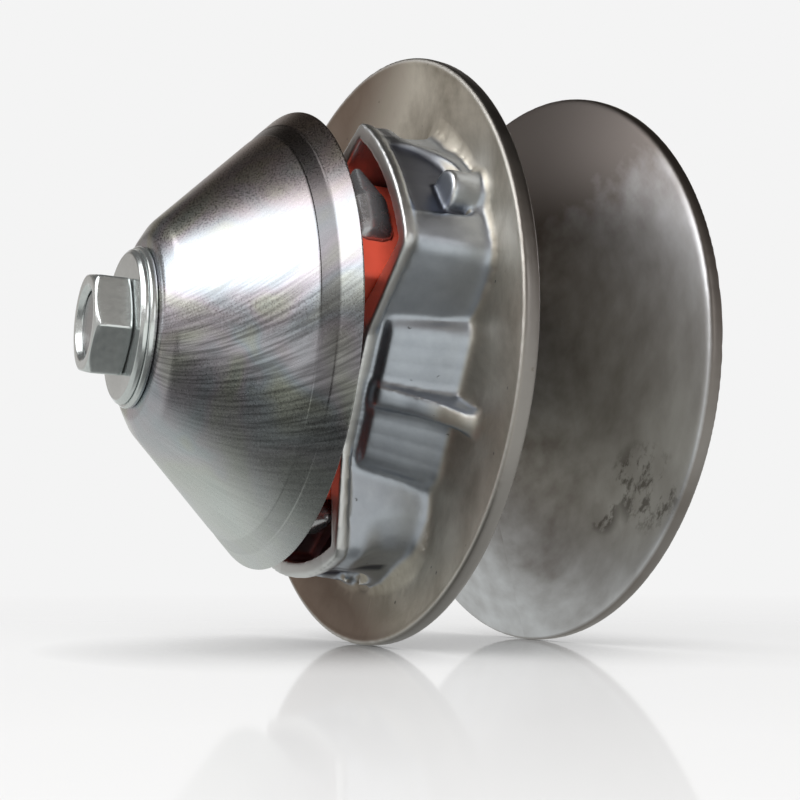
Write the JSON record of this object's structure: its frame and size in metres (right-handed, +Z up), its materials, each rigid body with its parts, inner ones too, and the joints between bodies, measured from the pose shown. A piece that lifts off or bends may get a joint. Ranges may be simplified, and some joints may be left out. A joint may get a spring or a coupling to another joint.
{
  "type": "cvt pulley set",
  "caption": "Drive pulley of a belt variator: fixed and movable sheaves on a shaft, return spring, red sliding wedges in a lobed cup, and a zinc cone cover held by a nut.",
  "frame": {"origin": "on the pulley axis, at the rear face of the hub where the crankshaft enters", "axes": "+X along the pulley axis towards the engine, +Z up, -Y towards the viewer of the picture"},
  "size_m": [0.1586, 0.18, 0.18],
  "materials": {
    "sheave_aluminium": "tarnished cast",
    "machined_steel": "turned",
    "zinc_steel": "bright zinc",
    "spun_steel": "zinc plated, spun",
    "weight_steel": "dark",
    "red_nylon": "moulded",
    "bronze": "sintered",
    "spring_steel": "oiled"
  },
  "bodies": {
    "fixed_group": {"fixed_sheave": "sheave_aluminium", "shaft": "machined_steel", "spring_seat": "zinc_steel", "return_spring": "spring_steel", "thrust_washer": "zinc_steel", "circlip": "spring_steel", "spacer_tube": "machined_steel", "cone_cover": "spun_steel", "rear_washer": "zinc_steel", "front_washer": "zinc_steel", "hub_nut": "zinc_steel"},
    "moving_group": {"movable_sheave": "sheave_aluminium", "rear_bush": "bronze", "front_bush": "bronze", "drive_key_1": "machined_steel", "drive_key_2": "machined_steel"},
    "idler": {"idler_sleeve": "machined_steel"},
    "wedge_group_1": {"wedge_1": "red_nylon", "weight_1": "weight_steel"},
    "wedge_group_2": {"wedge_2": "red_nylon", "weight_2": "weight_steel"},
    "wedge_group_3": {"wedge_3": "red_nylon", "weight_3": "weight_steel"}
  },
  "joints": [
    {"name": "sheave_slide", "type": "slide", "parent": "fixed_group", "child": "moving_group", "axis": [1, 0, 0], "range_m": [0, 0.014], "stiffness_N_per_m": 8000, "springref_m": -0.02, "deforming": ["return_spring"]},
    {"name": "idler_spin", "type": "hinge", "parent": "fixed_group", "child": "idler", "pos_m": [-0.04, 0, 0], "axis": [1, 0, 0], "continuous": true},
    {"name": "wedge_slide_1", "type": "slide", "parent": "moving_group", "child": "wedge_group_1", "axis": [-0.5, -0.7263, 0.4717], "range_m": [0, 0.01046]},
    {"name": "wedge_slide_2", "type": "slide", "parent": "moving_group", "child": "wedge_group_2", "axis": [-0.5, -0.0453, -0.8648], "range_m": [0, 0.01046]},
    {"name": "wedge_slide_3", "type": "slide", "parent": "moving_group", "child": "wedge_group_3", "axis": [-0.5, 0.7716, 0.3932], "range_m": [0, 0.01046]}
  ],
  "couplings": [
    {"joint": "wedge_slide_1", "follows": "sheave_slide", "ratio": 0.74701},
    {"joint": "wedge_slide_2", "follows": "sheave_slide", "ratio": 0.74701},
    {"joint": "wedge_slide_3", "follows": "sheave_slide", "ratio": 0.74701}
  ]
}
